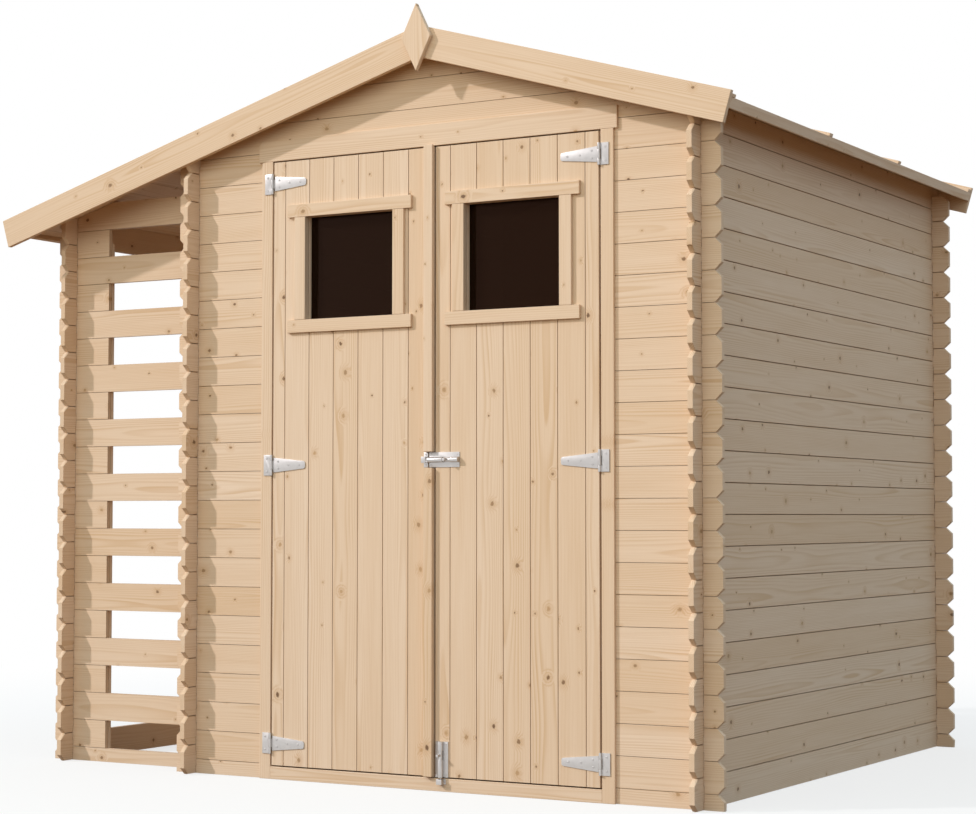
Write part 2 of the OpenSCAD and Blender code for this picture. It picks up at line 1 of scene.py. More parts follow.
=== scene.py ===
# %% [markdown]
# # Garden shed with an open log store
# The object is a small timber shed. Its walls are planks that cross at the corners and lock into each
# other by notches, and one roof slope runs on over a slatted bay for firewood. The solids come from a
# CAD model, so this lesson is about dressing them: joints between boards, wood that has a grain of
# its own in every board, plated steel and glass. First the frame is loaded.

# %% Load the frame
import json
import math
import random

import bmesh
import bpy
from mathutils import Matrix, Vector

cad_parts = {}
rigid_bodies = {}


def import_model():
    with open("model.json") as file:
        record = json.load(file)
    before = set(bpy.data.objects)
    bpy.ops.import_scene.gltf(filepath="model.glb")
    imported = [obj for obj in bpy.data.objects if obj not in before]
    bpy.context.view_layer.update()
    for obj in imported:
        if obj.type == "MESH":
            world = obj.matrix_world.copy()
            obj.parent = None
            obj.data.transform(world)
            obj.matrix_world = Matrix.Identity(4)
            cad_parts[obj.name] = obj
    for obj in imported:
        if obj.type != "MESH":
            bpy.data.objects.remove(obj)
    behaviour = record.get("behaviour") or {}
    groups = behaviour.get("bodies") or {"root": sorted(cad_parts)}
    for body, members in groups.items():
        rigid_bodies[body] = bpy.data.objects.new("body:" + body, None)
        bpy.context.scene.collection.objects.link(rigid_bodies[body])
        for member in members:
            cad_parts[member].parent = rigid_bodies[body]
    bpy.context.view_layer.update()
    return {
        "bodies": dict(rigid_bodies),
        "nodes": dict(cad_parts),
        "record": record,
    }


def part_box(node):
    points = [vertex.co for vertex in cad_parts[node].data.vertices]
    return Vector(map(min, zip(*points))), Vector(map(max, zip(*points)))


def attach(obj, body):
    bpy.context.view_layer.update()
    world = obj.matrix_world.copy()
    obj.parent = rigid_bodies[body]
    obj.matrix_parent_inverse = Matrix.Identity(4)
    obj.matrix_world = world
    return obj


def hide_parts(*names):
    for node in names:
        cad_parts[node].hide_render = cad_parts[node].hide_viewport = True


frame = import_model()
nodes = frame["nodes"]
body_of = {node: body for body, names in frame["record"]["behaviour"]["bodies"].items()
           for node in names}
in_scene = bpy.context.scene.collection.objects
MM = 0.001

# %% [markdown]
# ## Camera
# The photograph was taken from the front right, a little below half the height of the doors, with a
# long lens. The place is given from one corner of the building, the front right one on the ground,
# so that it can be checked with a tape measure. The lens follows from the focal length in pixels.

# %% Camera
IMAGE_W = 976
FOCAL_PX = 2197.0
SENSOR_W = 36.0
FROM_CORNER = Vector((2.523, -5.4686, 0.7957))
TILT_UP, TURN_LEFT = 0.0497, 0.5295

corner = Vector((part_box("right_wall")[1].x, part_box("front_gable")[0].y, 0.0))
lens = bpy.data.cameras.new("camera")
lens.sensor_fit = "HORIZONTAL"
lens.sensor_width = SENSOR_W
lens.lens = FOCAL_PX / IMAGE_W * SENSOR_W
camera = bpy.data.objects.new("camera", lens)
camera.location = corner + FROM_CORNER
camera.rotation_euler = (math.pi / 2 + TILT_UP, 0.0, TURN_LEFT)
in_scene.link(camera)
bpy.context.scene.camera = camera
bpy.context.scene.view_settings.view_transform = "Standard"
print("camera", tuple(round(c, 3) for c in camera.location), "lens", round(lens.lens, 1), "mm")

# %% [markdown]
# ## Colours and nodes
# Colours are written as sRGB hex values, as they are read off a paint card, and one function turns
# them to the linear values that shaders work with. A second one adds a shader node: settings go to
# the node, and inputs are either plain values or the outputs of other nodes.

# %% Helpers for every material
def linear(code):
    """Linear RGBA of an sRGB hex colour."""
    parts = [int(code[i:i + 2], 16) / 255 for i in (1, 3, 5)]
    return [p / 12.92 if p <= 0.04045 else ((p + 0.055) / 1.055) ** 2.4 for p in parts] + [1.0]


def put(tree, kind, inputs=None, **settings):
    """Adds one shader node with its settings and links, and gives its outputs."""
    made = tree.nodes.new("ShaderNode" + kind)
    for key, value in settings.items():
        setattr(made, key, value)
    for key, value in (inputs or {}).items():
        if isinstance(value, bpy.types.NodeSocket):
            tree.links.new(value, made.inputs[key])
        else:
            made.inputs[key].default_value = value
    return made.outputs


def blank(name):
    """An empty material and its node tree."""
    material = bpy.data.materials.new(name)
    material.use_nodes = True
    material.node_tree.nodes.clear()
    return material, material.node_tree


print("mid grey is", round(linear("#808080")[0], 3), "in linear light")

# %% [markdown]
# ## Light
# The photograph has a low sun from the front left: the plank ends throw shadows to the right that
# are a quarter longer than the ends stand out, and the gable boards throw theirs down by as much as
# they stand out. So a sun lamp shines along (1.23, 1, -0.98). A large soft panel in front fills the
# shadows there.

# %% Sun and front panel
SUN_DIRECTION = Vector((1.23, 1.0, -0.98))
PANEL_PLACE = Vector((0.3, -6.5, 3.2))
PANEL_AIM = Vector((0.0, 0.0, 1.0))


def lamp(name, kind, energy, colour, direction):
    """Adds a lamp that shines along a direction, and gives its light and its object."""
    light = bpy.data.lights.new(name, kind)
    light.energy, light.color = energy, colour
    holder = bpy.data.objects.new(name, light)
    holder.rotation_euler = direction.to_track_quat("-Z", "Y").to_euler()
    in_scene.link(holder)
    return light, holder


sun, sun_object = lamp("sun", "SUN", 1.95, (1.0, 0.975, 1.0), SUN_DIRECTION)
sun.angle = math.radians(2.2)
panel, panel_object = lamp("front_panel", "AREA", 124, (1.0, 0.91, 0.65), PANEL_AIM - PANEL_PLACE)
panel.shape = "RECTANGLE"
panel.size, panel.size_y = 7.0, 4.0
panel_object.location = PANEL_PLACE
panel_object.visible_glossy = False
print(sun_object.name, "and", panel_object.name, panel.size, "by", panel.size_y, "m")

# %% [markdown]
# ## World
# The world fills the rest of the shadows with a cool light. Seen directly, in metal or through
# glass, it is plain white instead, and the light on the object stays as it is.

# %% World
def seen_directly(tree):
    """1 for the rays that show the surroundings: to the eye, in metal and through glass."""
    path = put(tree, "LightPath")
    seen = path["Is Camera Ray"]
    for ray in ("Is Glossy Ray", "Is Transmission Ray"):
        seen = put(tree, "Math", {0: seen, 1: path[ray]}, operation="MAXIMUM")[0]
    return seen


world = bpy.data.worlds.new("white_room")
bpy.context.scene.world = world
world.use_nodes = True
tree = world.node_tree
tree.nodes.clear()
fill = put(tree, "Background", {"Color": linear("#d9edfa"), "Strength": 0.89})[0]
white = put(tree, "Background", {"Color": (1, 1, 1, 1), "Strength": 1.0})[0]
sky = put(tree, "MixShader", {0: seen_directly(tree), 1: fill, 2: white})[0]
put(tree, "OutputWorld", {"Surface": sky})
print("world has", len(tree.nodes), "nodes")

# %% [markdown]
# ## Floor
# The floor is pale paper that keeps a soft shadow and fades to white away from the building. The
# light that it throws back is a warm brown, which gives the undersides of the roof their colour.

# %% Floor
FLOOR_HALF = 40.0
GLOW_NEAR, GLOW_FAR, GLOW_LEAST = 1.6, 5.0, 0.72


def ground(name, x_range, y_range, below, material):
    """A flat rectangle of ground, a hair below the building."""
    (x0, x1), (y0, y1) = x_range, y_range
    mesh = bpy.data.meshes.new(name)
    mesh.from_pydata([(x, y, -below) for x, y in ((x0, y0), (x1, y0), (x1, y1), (x0, y1))],
                     [], [(0, 1, 2, 3)])
    mesh.materials.append(material)
    flat = bpy.data.objects.new(name, mesh)
    in_scene.link(flat)
    return flat


floor_paper, tree = blank("white_paper_floor")
seen = seen_directly(tree)
spot = put(tree, "NewGeometry")["Position"]
away = put(tree, "VectorMath", {0: spot}, operation="LENGTH")["Value"]
near = put(tree, "MapRange", {"Value": away, "From Min": GLOW_NEAR, "From Max": GLOW_FAR,
                              "To Min": GLOW_LEAST, "To Max": 1.0},
           interpolation_type="SMOOTHSTEP")[0]
share = put(tree, "Math", {0: seen, 1: near}, operation="MULTIPLY")[0]
tint = put(tree, "Mix", {0: seen, 6: linear("#6f4f2e"), 7: linear("#e6e4e0")}, data_type="RGBA")[2]
paper = put(tree, "BsdfDiffuse", {"Color": tint})[0]
glow = put(tree, "Emission", {"Color": (1, 1, 1, 1), "Strength": 1.0})[0]
mixed = put(tree, "MixShader", {0: share, 1: paper, 2: glow})[0]
put(tree, "OutputMaterial", {"Surface": mixed})
floor = ground("floor", (-FLOOR_HALF, FLOOR_HALF), (-FLOOR_HALF, FLOOR_HALF), 0.2 * MM, floor_paper)
print("a floor", 2 * FLOOR_HALF, "m wide")

# %% [markdown]
# The floor's white glow must not shine through the gaps around the closed doors, so the ground
# inside the walls is a patch of its own that only has the light which really gets there.

# %% Floor inside the walls
FLECK = 3 * MM
inside_x = (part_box("left_wall")[1].x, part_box("right_wall")[0].x)
inside_y = (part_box("front_wall_left")[1].y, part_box("back_wall")[0].y)
indoor_paper, tree = blank("white_paper_indoors")
fleck = put(tree, "TexNoise", {"Scale": 1 / FLECK, "Detail": 2.0})["Fac"]
tint = put(tree, "Mix", {0: fleck, 6: linear("#e2e0dc"), 7: linear("#eae8e4")}, data_type="RGBA")[2]
paper = put(tree, "BsdfDiffuse", {"Color": tint})[0]
put(tree, "OutputMaterial", {"Surface": paper})
patch = ground("floor_inside", inside_x, inside_y, 0.1 * MM, indoor_paper)
print("floor inside the walls", *(round(b - a, 2) for a, b in (inside_x, inside_y)), "m")

# %% [markdown]
# ## Planed spruce
# The timber is untreated spruce, sawn and then planed, so it is pale and almost matt, with a faint
# silk along the grain. A photograph of wood would repeat from board to board. Instead the material
# is cut from a log: each board carries its own coordinates along, across and through it, and the
# place of the log's heart. Knots come first. They are the stubs of branches that cross the board at
# a slant, so they are longer along it. At most one grows in each cell of a loose grid, and boards
# of a darker tone have more of them.

# %% Spruce: knots
KNOT_CELL = 100 * MM
KNOT_SMALL, KNOT_LARGE = 3.0 * MM, 8.5 * MM
KNOT_LONG = 1.25  # times its width
KNOT_HALO = 3.4  # times its size, where the grain is disturbed
RAGGED_MARK, RAGGED_BY = 6.25 * MM, 3 * MM

spruce, tree = blank("planed_spruce")
board = put(tree, "Attribute", attribute_name="board")["Vector"]
log = put(tree, "Attribute", attribute_name="log")["Vector"]
tone = put(tree, "SeparateXYZ", {0: log})["X"]
slant = put(tree, "VectorMath", {0: board, 1: (1 / KNOT_LONG, 1.0, 1.0)}, operation="MULTIPLY")[0]
spots = put(tree, "TexVoronoi", {"Vector": slant, "Scale": 1 / KNOT_CELL, "Randomness": 1.0},
            voronoi_dimensions="2D")
chance = put(tree, "SeparateColor", {0: spots["Color"]})
reach = put(tree, "Math", {0: spots["Distance"], 1: KNOT_CELL}, operation="MULTIPLY")[0]
ragged = put(tree, "TexNoise", {"Vector": board, "Scale": 1 / RAGGED_MARK, "Detail": 1.0})["Fac"]
ragged = put(tree, "MapRange", {"Value": ragged, "To Min": -RAGGED_BY, "To Max": RAGGED_BY})[0]
reach = put(tree, "Math", {0: reach, 1: ragged}, operation="ADD")[0]
share = put(tree, "MapRange", {"Value": tone, "From Max": 0.8, "To Min": 0.25, "To Max": 0.85})[0]
grown = put(tree, "Math", {0: chance["Red"], 1: share}, operation="LESS_THAN")[0]
size = put(tree, "Math", {0: chance["Green"], 1: 2.0}, operation="POWER")[0]
size = put(tree, "MapRange", {"Value": size, "To Min": KNOT_SMALL, "To Max": KNOT_LARGE})[0]
wide = put(tree, "Math", {0: size, 1: KNOT_HALO}, operation="MULTIPLY")[0]
knot = put(tree, "MapRange", {"Value": reach, "From Min": size, "From Max": 0.0},
           interpolation_type="SMOOTHSTEP")[0]
knot = put(tree, "Math", {0: knot, 1: grown}, operation="MULTIPLY")[0]
halo = put(tree, "MapRange", {"Value": reach, "From Min": wide, "From Max": 0.0},
           interpolation_type="SMOOTHSTEP")[0]
halo = put(tree, "Math", {0: halo, 1: grown}, operation="MULTIPLY")[0]
print("spruce: at most a knot in", round(KNOT_CELL / MM), "mm")

# %% [markdown]
# Growth rings are circles about the log's heart, so a face shows stripes or arches and an end shows
# arcs, as in a real board. They drift slowly along the log and bend round the knots. Spruce rings
# are about 3 mm apart. They are drawn a little wider because the picture has one pixel to 3 mm. In
# each ring the wood darkens slowly to its late wood and then ends sharply.

# %% Spruce: growth rings
RING = 4.2 * MM
RING_DRIFT = 16 * MM
RING_BEND = 11 * MM


def marks(along, across):
    """Scale of a pattern whose marks are so many millimetres long and wide on a board."""
    return 1 / (along * MM), 1 / (across * MM), 1 / (across * MM)


drift = put(tree, "VectorMath", {0: board, 1: marks(1111, 143)}, operation="MULTIPLY")[0]
drift = put(tree, "TexNoise", {"Vector": drift, "Scale": 1.0, "Detail": 2.0})["Fac"]
drift = put(tree, "MapRange", {"Value": drift, "To Min": -RING_DRIFT, "To Max": RING_DRIFT})[0]
bend = put(tree, "Math", {0: halo, 1: RING_BEND, 2: drift}, operation="MULTIPLY_ADD")[0]
radial = put(tree, "VectorMath", {0: board, 1: log}, operation="SUBTRACT")[0]
radial = put(tree, "VectorMath", {0: radial, 1: (0.0, 1.0, 1.0)}, operation="MULTIPLY")[0]
radius = put(tree, "VectorMath", {0: radial}, operation="LENGTH")["Value"]
radius = put(tree, "Math", {0: radius, 1: bend}, operation="ADD")[0]
phase = put(tree, "Math", {0: radius, 1: RING}, operation="DIVIDE")[0]
phase = put(tree, "Math", {0: phase}, operation="FRACT")[0]
rise = put(tree, "MapRange", {"Value": phase, "From Min": 0.25, "From Max": 0.85},
           interpolation_type="SMOOTHSTEP")[0]
fall = put(tree, "MapRange", {"Value": phase, "From Min": 1.0, "From Max": 0.86},
           interpolation_type="SMOOTHSTEP")[0]
late = put(tree, "Math", {0: rise, 1: fall}, operation="MULTIPLY")[0]
print("spruce: rings", round(RING / MM, 1), "mm apart")

# %% [markdown]
# The colour is built up in layers over the pale early wood: late wood, which is stronger in some
# streaks than in others, fine fibres, a warm halo round the knots, the knots themselves, the end
# grain, and painted shade on the rims of the joints between boards. Fibres are drawn 4 mm wide so
# that they show in the picture.

# %% Spruce: colours, gloss and relief
STREAK, WARM, CORE, END_CUT, PAINTED_JOINT_SHADE = 0.2, 0.35, 0.9, 0.08, 0.25

ends = put(tree, "Attribute", attribute_name="end_grain")["Fac"]
joint = put(tree, "Attribute", attribute_name="joint")["Fac"]
fibre = put(tree, "VectorMath", {0: board, 1: marks(200, 3.846)}, operation="MULTIPLY")[0]
fibre = put(tree, "TexNoise", {"Vector": fibre, "Scale": 1.0, "Detail": 2.0})["Fac"]
cloud = put(tree, "VectorMath", {0: board, 1: marks(625, 38.46)}, operation="MULTIPLY")[0]
cloud = put(tree, "TexNoise", {"Vector": cloud, "Scale": 1.0, "Detail": 3.0})["Fac"]
strength = put(tree, "MapRange", {"Value": cloud, "From Min": 0.3, "From Max": 0.7,
                                  "To Min": 0.05, "To Max": 0.55})[0]
late = put(tree, "Math", {0: late, 1: strength}, operation="MULTIPLY")[0]
streak = put(tree, "MapRange", {"Value": fibre, "From Min": 0.35, "From Max": 0.75,
                                "To Max": STREAK})[0]
warm = put(tree, "Math", {0: halo, 1: WARM}, operation="MULTIPLY")[0]
core = put(tree, "MapRange", {"Value": knot, "From Min": 0.05, "From Max": 0.5, "To Max": CORE})[0]
dark = put(tree, "Mix", {0: chance["Blue"], 6: linear("#5e4029"), 7: linear("#c09a70")},
           data_type="RGBA")[2]
cut = put(tree, "Math", {0: ends, 1: END_CUT}, operation="MULTIPLY")[0]
# Painted shade: the rims of the V joints are darkened with a dark brown that stands for the shade
# inside the V.
joint_shade = put(tree, "Math", {0: joint, 1: PAINTED_JOINT_SHADE}, operation="MULTIPLY")[0]

wood = put(tree, "Mix", {0: tone, 6: linear("#e6cdb4"), 7: linear("#dbbc9b")}, data_type="RGBA")[2]
for amount, colour in ((late, linear("#c49a69")), (streak, linear("#c9a47a")),
                       (warm, linear("#bd8f5c")), (core, dark), (cut, linear("#b98f5f")),
                       (joint_shade, linear("#7a5633"))):
    wood = put(tree, "Mix", {0: amount, 6: wood, 7: colour}, data_type="RGBA")[2]
gloss = put(tree, "MapRange", {"Value": fibre, "To Min": 0.52, "To Max": 0.72})[0]
relief = put(tree, "Math", {0: fibre, 1: late}, operation="ADD")[0]
relief = put(tree, "Bump", {"Height": relief, "Strength": 0.25, "Distance": 0.25 * MM})[0]
skin = put(tree, "BsdfPrincipled", {"Base Color": wood, "Roughness": gloss, "Normal": relief,
                                    "IOR": 1.5, "Specular IOR Level": 0.3})[0]
put(tree, "OutputMaterial", {"Surface": skin})
print("spruce has", len(tree.nodes), "nodes")

# %% [markdown]
# ## Zinc-plated steel
# Hinges and bolts are pressed from sheet steel and then plated with zinc. The plating is bright but
# not polished, with soft, slightly cloudy reflections.

# %% Zinc-plated steel
ZINC_CLOUD = 14 * MM
zinc, tree = blank("zinc_plated_steel")
spot = put(tree, "TexCoord")["Object"]
cloud = put(tree, "TexNoise", {"Vector": spot, "Scale": 1 / ZINC_CLOUD, "Detail": 3.0})["Fac"]
gloss = put(tree, "MapRange", {"Value": cloud, "To Min": 0.36, "To Max": 0.46})[0]
shade = put(tree, "Mix", {0: cloud, 6: linear("#bbb7b4"), 7: linear("#c9c5c2")},
            data_type="RGBA")[2]
skin = put(tree, "BsdfPrincipled", {"Base Color": shade, "Metallic": 1.0, "Roughness": gloss})[0]
put(tree, "OutputMaterial", {"Surface": skin})
print("plated steel has", len(tree.nodes), "nodes")

# %% [markdown]
# ## Window glass
# The panes are thin clear float glass in front of an unlit room, so they look almost black and show
# reflections. The dark room behind them is painted shade: the glass gets a brown tint, and its
# reflections are tinted brown too.

# %% Window glass
GLASS_WAVE = 120 * MM
glass, tree = blank("window_glass")
spot = put(tree, "TexCoord")["Object"]
wave = put(tree, "TexNoise", {"Vector": spot, "Scale": 1 / GLASS_WAVE})["Fac"]
gloss = put(tree, "MapRange", {"Value": wave, "To Min": 0.01, "To Max": 0.04})[0]
# Painted shade: the brown base colour and the brown specular tint stand for the dark room behind the
# glass.
skin = put(tree, "BsdfPrincipled", {"Base Color": linear("#3c2a1e"), "Roughness": gloss,
                                    "IOR": 1.45, "Transmission Weight": 0.8,
                                    "Specular Tint": linear("#8f5c46")})[0]
put(tree, "OutputMaterial", {"Surface": skin})
print("glass has", len(tree.nodes), "nodes")

# %% [markdown]
# ## Boards out of solids
# A node's mesh is many triangles with split corners. To work on it as a joiner would, its corners
# are welded and its flat faces made whole. Each separate solid in it is then one board.

# %% Weld a node and find its boards
WELD = 0.02 * MM
FLAT_WITHIN = math.radians(0.5)


def solids_of(mesh):
    """The mesh as a BMesh with whole faces, and its separate solids as lists of vertices."""
    bm = bmesh.new()
    bm.faces.layers.float.new("joint")
    bm.from_mesh(mesh)
    bmesh.ops.remove_doubles(bm, verts=bm.verts, dist=WELD)
    bmesh.ops.dissolve_limit(bm, angle_limit=FLAT_WITHIN, verts=bm.verts, edges=bm.edges)
    return bm, islands(bm)


def islands(bm):
    """The separate solids of a BMesh, each a list of vertices."""
    found, visited = [], set()
    for start in bm.verts:
        if start in visited:
            continue
        visited.add(start)
        group, queue = [], [start]
        while queue:
            v = queue.pop()
            group.append(v)
            for e in v.link_edges:
                other = e.other_vert(v)
                if other not in visited:
                    visited.add(other)
                    queue.append(other)
        found.append(group)
    return found


print("the right wall has", len(solids_of(nodes["right_wall"].data)[1]), "planks")

# %% [markdown]
# A board's long direction is its longest edge, and its thickness goes along the normal of its
# largest face. Of equal edges or faces the first in the mesh counts. A Python set would give them in
# another order on each run and turn boards over, so the keys of a dict are used, which keep theirs.

# %% A board's faces, middle and directions
def faces_of(group):
    """The faces of a solid, in the order of the mesh."""
    return list(dict.fromkeys(f for v in group for f in v.link_faces))


def centre_of(group):
    """The mean place of a solid's vertices."""
    return sum((v.co for v in group), Vector()) / len(group)


def axes_of(group, along=None):
    """Directions along, across and through a board."""
    if along is None:
        edges = dict.fromkeys(e for v in group for e in v.link_edges)
        longest = max(edges, key=lambda e: round(e.calc_length(), 5))
        along = (longest.verts[1].co - longest.verts[0].co).normalized()
    sides = [f for f in faces_of(group) if abs(f.normal.dot(along)) < 0.1]
    through = max(sides, key=lambda f: round(f.calc_area(), 7)).normal.copy()
    return along, through.cross(along).normalized(), through


print("a board's directions are found from its own edges and faces")

# %% [markdown]
# ## Joints and edges
# Planks lie on each other with a shallow V along the joint, which shows as a fine dark line: the V's
# own shade, and painted shade on its rims. It is made by insetting both broad faces a little and
# sliding their old outline back along the board's thickness, so the rim slopes steeply inward. Only
# corners on an edge that runs along the board slide, so the chamfered plank ends stay whole. Other
# pieces only lose their sharp edges, by a bevel.

# %% Joint grooves and softened edges
RIM_BEVEL = 0.5 * MM
SHARP = math.radians(25)


def groove(bm, groups, alongs, width, depth):
    """Cuts the long rims of the two broad faces of every board back to a steep V."""
    broad, lengthwise = [], set()
    for group, along in zip(groups, alongs):
        faces = sorted(faces_of(group), key=lambda f: -round(f.calc_area(), 7))[:2]
        broad += faces
        for e in (e for f in faces for e in f.edges):
            if abs((e.verts[1].co - e.verts[0].co).normalized().dot(along)) > 0.9:
                lengthwise.update(e.verts)
    outline = {v: i for i, f in enumerate(broad) for v in f.verts}
    slide = {}
    for v, i in outline.items():
        for e in v.link_edges:
            other = e.other_vert(v)
            if v in lengthwise and outline.get(other, i) != i:
                slide[v] = (other.co - v.co).normalized() * depth
    inset = bmesh.ops.inset_individual(bm, faces=broad, thickness=width, use_even_offset=True)
    # The rims of the V are marked as joint faces, and the spruce paints shade on them.
    joint_layer = bm.faces.layers.float["joint"]
    for rim in inset["faces"]:
        rim[joint_layer] = 1.0 if sum(v in slide for v in rim.verts) > 1 else 0.0
    for v, step in slide.items():
        v.co += step
    rims = list(dict.fromkeys(e for f in broad for e in f.edges))
    bmesh.ops.bevel(bm, geom=rims, offset=RIM_BEVEL, segments=2, profile=0.5, affect="EDGES",
                    clamp_overlap=True)


def soften(bm, size):
    """Rounds every sharp edge."""
    bm.normal_update()
    sharp = [e for e in bm.edges if len(e.link_faces) == 2 and e.calc_face_angle(0) > SHARP]
    bmesh.ops.bevel(bm, geom=sharp, offset=size, segments=2, profile=0.6, affect="EDGES",
                    clamp_overlap=True)


print("grooves and bevels are ready")

# %% [markdown]
# ## Grain for every board
# The spruce reads four attributes from the mesh. The groove has already marked the rims of the
# joints, where painted shade goes. The other three are where a vertex lies in its board, where the
# heart of the log is, with the board's tone, and which faces are ends. Every board starts at another
# place along its log, so no two look the same. The random numbers are seeded by the piece's name and
# stay the same.

# %% Grain attributes
TONE_MEAN, TONE_SPREAD = 0.42, 0.15
LOG_LENGTH = 60
HEART_ASIDE = 55
HEART_NEAR, HEART_FAR = 14, 75


def give_grain(bm, boards_axes, name):
    """Writes the wood's attributes for each board of a piece."""
    place = bm.verts.layers.float_vector.new("board")
    heart = bm.verts.layers.float_vector.new("log")
    ends = bm.faces.layers.float.new("end_grain")
    for i, group in enumerate(islands(bm)):
        dice = random.Random(f"{name} {i}")
        centre = centre_of(group)
        along, across, through = min(boards_axes, key=lambda b: (b[0] - centre).length)[1]
        start = dice.uniform(1, LOG_LENGTH)
        tone = min(max(dice.gauss(TONE_MEAN, TONE_SPREAD), 0), 1)
        aside = dice.uniform(-HEART_ASIDE, HEART_ASIDE) * MM
        behind = dice.choice((-1, 1)) * dice.uniform(HEART_NEAR, HEART_FAR) * MM
        for v in group:
            d = v.co - centre
            v[place] = Vector((d.dot(along) + start, d.dot(across), d.dot(through)))
            v[heart] = Vector((tone, aside, behind))
        for f in faces_of(group):
            f[ends] = 1.0 if abs(f.normal.dot(along)) > 0.6 else 0.0


print("hearts of logs lie", HEART_NEAR, "to", HEART_FAR, "mm from the middle of a board")

# %% [markdown]
# ## Pieces on the frame
# A finished piece rides on the body of the node that it stands for. A wooden one goes through the
# same steps each time: weld, find the boards, groove or soften, and give each board its grain.

# %% Finished pieces
def finished(bm, name, body, material, replaced=()):
    """Makes a piece of a BMesh and fits it to the frame."""
    mesh = bpy.data.meshes.new(name)
    bm.to_mesh(mesh)
    bm.free()
    mesh.materials.append(material)
    piece = bpy.data.objects.new(name, mesh)
    in_scene.link(piece)
    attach(piece, body)
    if replaced:
        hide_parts(*replaced)
    return piece


def wooden(node, joint=None, edge=None, along=None):
    """The wooden piece that stands for a node, with grooved joints or soft edges."""
    bm, groups = solids_of(nodes[node].data)
    axes = [(centre_of(g), axes_of(g, along)) for g in groups]
    if joint:
        groove(bm, groups, [directions[0] for _, directions in axes], *joint)
    else:
        soften(bm, edge)
    bm.normal_update()
    give_grain(bm, axes, node)
    piece = finished(bm, node + "_timber", body_of[node], spruce, [node])
    print(piece.name, len(groups), "boards,", len(piece.data.polygons), "faces")


print("a helper for wooden pieces")

# %% [markdown]
# ## Walls, store and doors
# Wall planks, slats and door boards all have V joints. The store's slats and stubs are the same
# planks as the walls, with every second one cut short. A low sun makes a fine V look wide, while one
# in the shade is lost, so the joints of the front are cut finer than those of the sides and the back.

# %% Planks and door boards
V_DEPTH = 6.0 * MM
V_WIDTHS = {1.0 * MM: ("front_wall_left", "front_wall_right", "front_gable", "store_front_slats",
                       "store_front_stubs"),
            1.4 * MM: ("left_leaf_boards", "right_leaf_boards"),
            1.75 * MM: ("right_wall", "left_wall", "back_wall", "back_gable", "store_back_slats",
                        "store_back_stubs", "store_side_planks", "store_side_stubs")}
for width, names in V_WIDTHS.items():
    for node in names:
        wooden(node, joint=(width, V_DEPTH))

# %% [markdown]
# ## Frames, trims and edge boards
# Jambs, trims, battens and gable boards are planed all round and have soft edges. The diamonds at
# the ridge have only slanting edges, so they are told that their grain runs upright.

# %% Planed pieces
for node in ("store_battens", "door_jamb_left", "door_jamb_right", "door_head", "door_sill",
             "roof_battens", "eaves_strips", "barge_front_left", "barge_front_right",
             "barge_back_left", "barge_back_right", "left_leaf_ledges", "right_leaf_ledges",
             "cover_strip", "left_window_trim", "right_window_trim", "left_window_bead",
             "right_window_bead"):
    wooden(node, edge=1.5 * MM)
wooden("finials", edge=2.0 * MM, along=Vector((0, 0, 1)))

# %% [markdown]
# ## Roof boards
# The CAD roof is one slab to a slope. The real one is tongued boards that run from gable to gable,
# and their joints show from below. The slab is cut across the slope into boards of one width.

# %% Roof boards
ROOF_BOARD = 90 * MM
ROOF_V_WIDTH, ROOF_V_DEPTH = 1.2 * MM, 4.0 * MM
SAW_GAP = 0.2 * MM


def sawn(slab, across):
    """A slab cut into roof boards, with a fine gap on both sides of each cut."""
    reach = [v.co.dot(across) for v in slab.verts]
    boards = bmesh.new()
    boards.faces.layers.float.new("joint")
    for i in range(math.ceil((max(reach) - min(reach)) / ROOF_BOARD)):
        part = slab.copy()
        for step, gap, side in ((i, SAW_GAP, "clear_inner"), (i + 1, -SAW_GAP, "clear_outer")):
            at = across * (min(reach) + step * ROOF_BOARD + gap)
            cut = bmesh.ops.bisect_plane(part, geom=part.verts[:] + part.edges[:] + part.faces[:],
                                         plane_co=at, plane_no=across, **{side: True})
            rim = [e for e in cut["geom_cut"] if isinstance(e, bmesh.types.BMEdge)]
            if rim:
                bmesh.ops.edgeloop_fill(part, edges=rim)
        single = bpy.data.meshes.new("roof_board")
        part.to_mesh(single)
        part.free()
        boards.from_mesh(single)
        bpy.data.meshes.remove(single)
    bmesh.ops.recalc_face_normals(boards, faces=boards.faces)
    return boards


for node in ("roof_left", "roof_right"):
    slab, groups = solids_of(nodes[node].data)
    directions = axes_of(groups[0], Vector((0, 1, 0)))
    boards = sawn(slab, directions[1])
    slab.free()
    groups = islands(boards)
    axes = [(centre_of(g), directions) for g in groups]
    groove(boards, groups, [directions[0]] * len(groups), ROOF_V_WIDTH, ROOF_V_DEPTH)
    boards.normal_update()
    give_grain(boards, axes, node)
    piece = finished(boards, node + "_timber", "shed", spruce, [node])
    print(piece.name, len(groups), "boards")

# %% [markdown]
# ## Hinges and bolts
# The steel parts keep their CAD shape. Their edges are rounded by the press that made them, and
# round parts are shaded smooth.

# %% Steel pieces
STEEL = ("hinge_plates_left", "hinge_plates_right", "left_hinge_straps", "right_hinge_straps",
         "latch_keeper", "latch_bolt", "foot_bolt", "foot_keeper")
for node in STEEL:
    bm, groups = solids_of(nodes[node].data)
    count = len(groups)
    soften(bm, 0.5 * MM)
    piece = finished(bm, node + "_steel", body_of[node], zinc, [node])
    piece.data.shade_smooth()
    piece.data.set_sharp_from_angle(angle=math.radians(35))
    print(piece.name, count, "solids,", len(piece.data.polygons), "faces")

# %% [markdown]
# ## Screws
# Every plate and strap is held by small screws with a raised head and a cross recess. A head is a
# low rim, a top with a cross-shaped hole, and the recess below it. All its sizes are given as shares
# of its radius.

